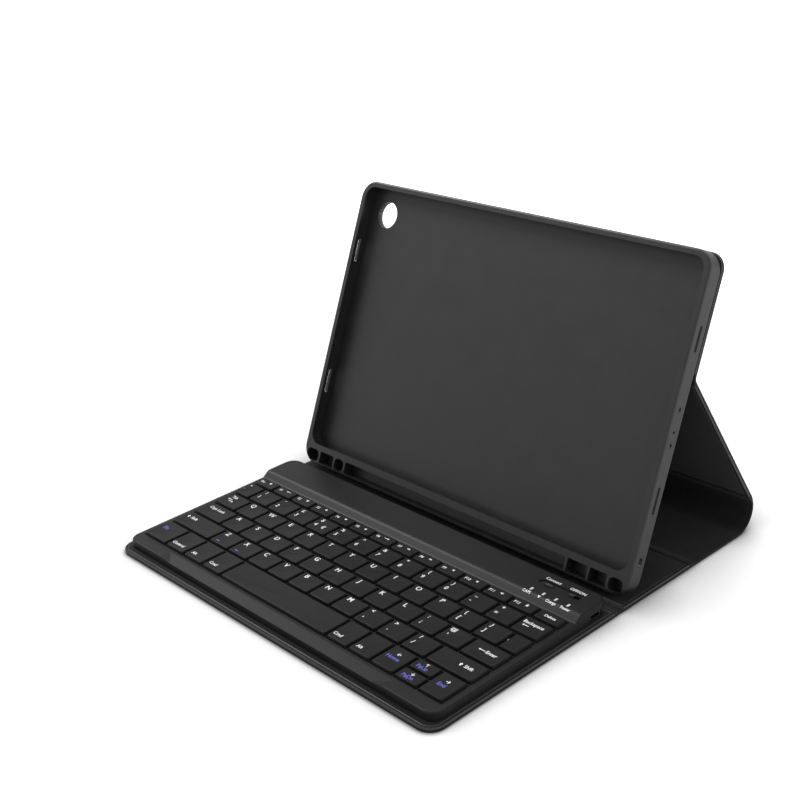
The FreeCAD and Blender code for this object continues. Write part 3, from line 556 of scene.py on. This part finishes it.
keySpots = {}
for node, count in keyCounts.items():
    low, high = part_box(node)
    wide = (high.x - low.x - (count - 1) * cap["gap"] * mm) / count
    caps = []
    keySpots[node] = []
    for i in range(count):
        left = low.x + i * (wide + cap["gap"] * mm)
        caps.append(keycap("cap_%s_%d" % (node, i), (left, low.y, low.z), (left + wide, high.y, high.z)))
        keySpots[node].append((left + wide / 2, (low.y + high.y) / 2, high.z - cap["dishDeep"] * mm))
    capGroup = mergeAll("cap_" + node, caps)
    smooth(capGroup)
    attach(capGroup, node)
    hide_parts(node)
print("keycaps", sum(keyCounts.values()))


# printed legends: text and small drawn marks, turned into thin mesh; places are from a key's middle
ink = {"thick": 0.012, "swell": 0.016, "letter": 4.7, "pair": 4.0, "word": 3.2, "mark": 1.15,
       "letterAt": (-4.0, 3.9), "lowAt": (-4.8, -1.4), "highAt": (-4.6, 4.3), "thirdAt": (1.7, -1.4),
       "hintAt": (-3.4, -4.2), "fn": 4.4, "fnAt": (-4, 2),
       "function": 2.7, "functionAt": (-4.6, 0.1), "aloneAt": (0, 0.3),
       "markAt": (1.6, 1.2), "markShare": 0.9, "arrow": 3.4, "arrowWord": 3.5}
white, violet = finishes["whiteInkWithPaintedGlow"], finishes["violetInkWithPaintedGlow"]


def printWord(text, x, y, z, size, colour, tilt=0):
    # x, y, z in metres, size in mm, tilt in degrees for words on a slope
    dropPick()
    bpy.ops.object.text_add(location=(x, y, z), rotation=(math.radians(tilt), 0, 0))
    piece = bpy.context.object
    piece.data.body = text
    piece.data.size = size * mm
    piece.data.extrude = ink["thick"] * mm
    piece.data.offset = size * ink["swell"] * mm
    piece.data.align_x = "CENTER"
    piece.data.align_y = "CENTER"
    piece.data.resolution_u = 3
    bpy.ops.object.convert(target="MESH")
    piece = bpy.context.object
    bpy.ops.object.transform_apply(location=True, rotation=True, scale=True)
    dress(piece, colour)
    return piece


# outlines of the drawn marks, one unit is the mark's half width
marks = {
    "arrowLeft": [(-1.8, 0), (-0.9, 0.7), (-0.9, 0.2), (1.8, 0.2), (1.8, -0.2), (-0.9, -0.2),
                  (-0.9, -0.7)],
    "arrowRight": [(1.8, 0), (0.9, -0.7), (0.9, -0.2), (-1.8, -0.2), (-1.8, 0.2), (0.9, 0.2),
                   (0.9, 0.7)],
    "arrowUp": [(0, 1.1), (-0.9, 0.1), (-0.4, 0.1), (-0.4, -0.9), (0.4, -0.9), (0.4, 0.1), (0.9, 0.1)],
    "house": [(0, 1), (-1, 0.1), (-0.65, 0.1), (-0.65, -0.8), (0.65, -0.8), (0.65, 0.1), (1, 0.1)],
    "skipBack": [(-1, 0), (0, 0.7), (0, 0.1), (1, 0.7), (1, -0.7), (0, -0.1), (0, -0.7)],
    "skipOn": [(1, 0), (0, -0.7), (0, -0.1), (-1, -0.7), (-1, 0.7), (0, 0.1), (0, 0.7)],
    "speaker": [(-0.9, 0.35), (-0.9, -0.35), (-0.35, -0.35), (0.4, -0.95), (0.4, 0.95), (-0.35, 0.35)],
    "wave": [(0.75, 0.7), (0.75, -0.7), (1.0, -0.4), (1.0, 0.4)],
    "body": [(-0.7, 0.2), (-0.7, -0.9), (0.7, -0.9), (0.7, 0.2)],
    "shackle": [(-0.5, 0.25), (-0.3, 0.25), (-0.25, 0.75), (0.25, 0.75), (0.3, 0.25), (0.5, 0.25),
                (0.4, 1.0), (-0.4, 1.0)],
    "disc": [(0.75 * math.cos(math.tau * i / 10), 0.75 * math.sin(math.tau * i / 10)) for i in range(10)],
    "dash": [(-1.2, 0.28), (-1.2, -0.28), (1.2, -0.28), (1.2, 0.28)],
    "wedge": [(-1.1, 0.9), (0, -1), (1.1, 0.9)],
}


def printMark(name, x, y, z, size, colour, tilt=0):
    # a filled ring of as many points as the outline, pulled to it and given the ink's thickness
    outline = marks[name]
    dropPick()
    bpy.ops.mesh.primitive_circle_add(vertices=len(outline), radius=mm, fill_type="NGON",
                                      location=(x, y, z), rotation=(math.radians(tilt), 0, 0))
    piece = bpy.context.object
    for v, (along, across) in zip(piece.data.vertices, outline):
        v.co = (along * size * mm, across * size * mm, 0)
    bpy.ops.object.transform_apply(location=True, rotation=True, scale=True)
    finishWith(piece, "SOLIDIFY", thickness=2 * ink["thick"] * mm, offset=0)
    editWhole(piece)
    bpy.ops.mesh.normals_make_consistent(inside=False)
    bpy.ops.mesh.quads_convert_to_tris()
    leaveEdit()
    dress(piece, colour)
    return piece


keyMarks = {
    "keys_q_to_y": list("QWERTY"), "keys_a_to_h": list("ASDFGH"), "keys_z_to_b": list("ZXCVB"),
    "keys_1_to_6": ["1!", "2\"", "3£", "4$€", "5%", "6^"],
    "keys_7_to_equals": ["7&", "8*", "9(", "0)", "-_", "=+"],
    "keys_u_to_bracket": ["U", "I", "O", "P", "[{", "]}"], "keys_j_to_quote": ["J", "K", "L", ";:", "'@"],
    "keys_n_to_slash": ["N", "M", ",<", ".>", "/?"], "key_backslash": ["\\|"], "key_grave": ["`¬"],
}
keyWords = {
    "key_tab": ("Tab", -2.5, 3.6), "key_caps_lock": ("Caps Lock", -1.5, 2.5),
    "key_shift_left": ("Shift", -8, 2.0), "key_control": ("Control", -1.6, -4.4),
    "key_alt_left": ("Alt", -3.6, -4.4), "key_command_left": ("Cmd", -3.2, -4.4),
    "key_command_right": ("Cmd", -3.2, -4.4), "key_alt_right": ("Alt", -3.6, -4.4),
    "key_shift_right": ("Shift", 7, 0.5), "key_enter": ("Enter", 3.2, 0.5),
    "key_backspace": ("Backspace", -0.9, 2.5),
}
keyDrawn = {
    "key_tab": [("arrowLeft", -3.4, 0.6), ("arrowRight", -1.2, -1.0)],
    "key_shift_left": [("arrowUp", -13.4, 2.0)], "key_shift_right": [("arrowUp", 1.8, 0.5)],
    "key_enter": [("arrowLeft", -3.0, 0.5)], "key_backspace": [("arrowLeft", -4.0, -0.4)],
}
# arrow keys: the arrow, the word below it, and where each is printed
deepAt, halfAt = ((0, 3.5), (-1, 0)), ((0, 1.6), (-1, -1.3))
arrowKeys = {
    "key_arrow_left": ("←", "Home", deepAt), "key_arrow_down": ("↓", "PgDn", halfAt),
    "key_arrow_up": ("↑", "PgUp", halfAt), "key_arrow_right": ("→", "End", deepAt),
}
functionKeys = {
    "keys_escape_to_f6": [("Esc", "house"), ("F1", "arrowLeft"), ("F2", "wedge"), ("F3", "disc"),
                          ("F4", "disc"), ("F5", "body"), ("F6", "arrowRight")],
    "keys_f7_to_delete": [("F7", "skipBack"), ("F8", "skipOn"), ("F9", "speaker"), ("F10", "speaker"),
                          ("F11", "speaker wave"), ("F12", "body shackle"), ("Delete", "")],
}
legends = {}


def stamp(node, *words):
    legends.setdefault(node, []).extend(words)


def spotOn(key, at):
    x, y, z = key
    return x + at[0] * mm, y + at[1] * mm, z


for node, texts in keyMarks.items():
    for key, text in zip(keySpots[node], texts):
        if len(text) == 1:
            stamp(node, printWord(text, *spotOn(key, ink["letterAt"]), ink["letter"], white))
        else:
            for sign, at in zip(text, (ink["lowAt"], ink["highAt"], ink["thirdAt"])):
                stamp(node, printWord(sign, *spotOn(key, at), ink["pair"], white))
for node, (word, dx, dy) in keyWords.items():
    stamp(node, printWord(word, *spotOn(keySpots[node][0], (dx, dy)), ink["word"], white))
for node, drawn in keyDrawn.items():
    for name, dx, dy in drawn:
        stamp(node, printMark(name, *spotOn(keySpots[node][0], (dx, dy)), ink["mark"], white))
for key in keySpots["keys_z_to_b"][:2]:
    stamp("keys_z_to_b", printMark("dash", *spotOn(key, ink["hintAt"]), ink["mark"], violet))
stamp("key_fn", printWord("Fn", *spotOn(keySpots["key_fn"][0], ink["fnAt"]), ink["fn"], violet))
for node, (arrow, word, (arrowAt, wordAt)) in arrowKeys.items():
    key = keySpots[node][0]
    stamp(node, printWord(arrow, *spotOn(key, arrowAt), ink["arrow"], white),
          printWord(word, *spotOn(key, wordAt), ink["arrowWord"], violet))
for node, texts in functionKeys.items():
    for key, (text, drawn) in zip(keySpots[node], texts):
        at = ink["functionAt"] if drawn else ink["aloneAt"]
        stamp(node, printWord(text, *spotOn(key, at), ink["function"], white))
        for name in drawn.split():
            stamp(node, printMark(name, *spotOn(key, ink["markAt"]), ink["mark"] * ink["markShare"], white))
for node, words in legends.items():
    legend = mergeAll("legend_" + node, words)
    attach(legend, node)
print("legends", len(legends))

# words on the bar: behind the recess they lie flat, and before the lights they lie on the rounded ridge
bar = {"y": 58.4, "lift": 0.005, "size": 2.9, "words": [("Connect", 96), ("OFF/ON", 112.5)]}
ridge = {"y": 42.4, "z": 10.56, "tilt": 29, "size": 2.3, "wedge": 0.8, "wedgeAt": 99.6,
         "words": [("CAPS", 91.2), ("Charge", 107.6), ("Power", 117.2)]}
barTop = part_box("keyboard_top_case")[1].z + bar["lift"] * mm
ridgeLine = (ridge["y"] * mm, ridge["z"] * mm)
labels = [printWord(word, x * mm, bar["y"] * mm, barTop, bar["size"], white) for word, x in bar["words"]]
labels += [printWord(word, x * mm, *ridgeLine, ridge["size"], white, ridge["tilt"])
           for word, x in ridge["words"]]
labels.append(printMark("wedge", ridge["wedgeAt"] * mm, *ridgeLine, ridge["wedge"], white, ridge["tilt"]))
barLegend = mergeAll("legend_bar", labels)
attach(barLegend, "keyboard")


# floor: white paper, whose colour is darkened close round the object as a painted contact shadow, and left
# pale farther out
sheet = {"wide": 30, "drop": 0.05, "rough": 0.6, "shade": "#3c3c3c", "light": "#f4f4f4",
         "shadowReach": 0.03, "shadowRays": 16, "shadowPower": 2.0,
         "fadeFrom": 0.3, "fadeTo": 0.95, "glowNear": 0.22, "glowFar": 1.0}
dropPick()
bpy.ops.mesh.primitive_plane_add(size=sheet["wide"], location=(0, 0, -sheet["drop"] * mm))
floor = bpy.context.object
floor.name = "floor"
paper = bpy.data.materials.new("paperSeamless")
paper.use_nodes = True
tree = paper.node_tree
shader = tree.nodes["Principled BSDF"]
shader.inputs["Roughness"].default_value = sheet["rough"]
close = addNode(tree, "ShaderNodeAmbientOcclusion",
                {"Distance": sheet["shadowReach"], "samples": sheet["shadowRays"]})
deep = addNode(tree, "ShaderNodeMath", {"operation": "POWER", 1: sheet["shadowPower"]},
               {0: close.outputs["AO"]})
# painted contact shadow: the paper's colour runs to the shade tone where the object is near
grey = addNode(tree, "ShaderNodeValToRGB", links={"Fac": deep.outputs["Value"]})
grey.color_ramp.elements[0].color = linear(sheet["shade"])
grey.color_ramp.elements[1].color = linear(sheet["light"])
tree.links.new(grey.outputs["Color"], shader.inputs["Base Color"])
lift = addNode(tree, "ShaderNodeEmission", {"Color": (1, 1, 1, 1)})
where = addNode(tree, "ShaderNodeTexCoord")
far = addNode(tree, "ShaderNodeVectorMath", {"operation": "LENGTH"}, {0: where.outputs["Object"]})
edge = addNode(tree, "ShaderNodeMapRange",
               {"From Min": sheet["fadeFrom"], "From Max": sheet["fadeTo"],
                "To Min": sheet["glowNear"], "To Max": sheet["glowFar"]}, {"Value": far.outputs["Value"]})
seen = addNode(tree, "ShaderNodeMath", {"operation": "MULTIPLY"},
               {0: whiteFor(tree), 1: edge.outputs["Result"]})
held = addNode(tree, "ShaderNodeMath", {"operation": "MULTIPLY"},
               {0: seen.outputs["Value"], 1: deep.outputs["Value"]})
tree.links.new(held.outputs["Value"], lift.inputs["Strength"])
both = addNode(tree, "ShaderNodeAddShader", links={0: shader.outputs["BSDF"], 1: lift.outputs["Emission"]})
tree.links.new(both.outputs["Shader"], tree.nodes["Material Output"].inputs["Surface"])
dress(floor, paper)

# light: an even white room, and three lamps, of which the card shows in the gloss alone
world = bpy.data.worlds.new("studio")
bpy.context.scene.world = world
world.use_nodes = True
tree = world.node_tree
air = tree.nodes["Background"]
air.inputs["Color"].default_value = (1, 1, 1, 1)
strength = addNode(tree, "ShaderNodeMapRange", {"To Min": 0.8, "To Max": 1.0}, {"Value": whiteFor(tree)})
tree.links.new(strength.outputs["Result"], air.inputs["Strength"])

lamps = [
    {"name": "overhead", "at": (-0.25, 0.75, 1.25), "to": (0.0, 0.0, 0.03), "size": 1.0, "watts": 6},
    {"name": "leftHigh", "at": (-0.89, -0.09, 1.02), "to": (0.0, 0.04, 0.02), "size": 0.55, "watts": 17,
     "card": True},
    {"name": "rightSide", "at": (1.3, 0.1, 0.55), "to": (0.1, 0.1, 0.08), "size": 0.7, "watts": 3},
]
for lamp in lamps:
    data = bpy.data.lights.new(lamp["name"], "AREA")
    data.shape = "DISK"
    data.size = lamp["size"]
    data.energy = lamp["watts"]
    light = bpy.data.objects.new(lamp["name"], data)
    light.location = lamp["at"]
    light.visible_diffuse = not lamp.get("card", False)
    aim = Vector(lamp["to"]) - Vector(lamp["at"])
    light.rotation_euler = aim.to_track_quat("-Z", "Y").to_euler()
    bpy.context.scene.collection.objects.link(light)

# camera found from the places of the keys and the outer edges in the photograph
view = {"azimuth": 48.9437, "elevation": 23.5447, "roll": -4.5275, "at": (0.512741, -0.400915, 0.388961),
        "focal": 1372.33, "frame": 800, "sensor": 36.0}
az, el, roll = (math.radians(view[k]) for k in ("azimuth", "elevation", "roll"))
back = Vector((math.sin(az) * math.cos(el), -math.cos(az) * math.cos(el), math.sin(el)))
right = Vector((math.cos(az), math.sin(az), 0))
up = back.cross(right)
turnedRight = math.cos(roll) * right + math.sin(roll) * up
turnedUp = -math.sin(roll) * right + math.cos(roll) * up
lens = bpy.data.cameras.new("camera")
lens.sensor_fit = "AUTO"
lens.sensor_width = view["sensor"]
lens.lens = view["focal"] / view["frame"] * view["sensor"]
lens.clip_start = 0.01
camera = bpy.data.objects.new("camera", lens)
camera.matrix_world = Matrix.Translation(view["at"]) \
    @ Matrix((turnedRight, turnedUp, back)).transposed().to_4x4()
bpy.context.scene.collection.objects.link(camera)
bpy.context.scene.camera = camera
bpy.context.scene.view_settings.view_transform = "Standard"
print("stage set")
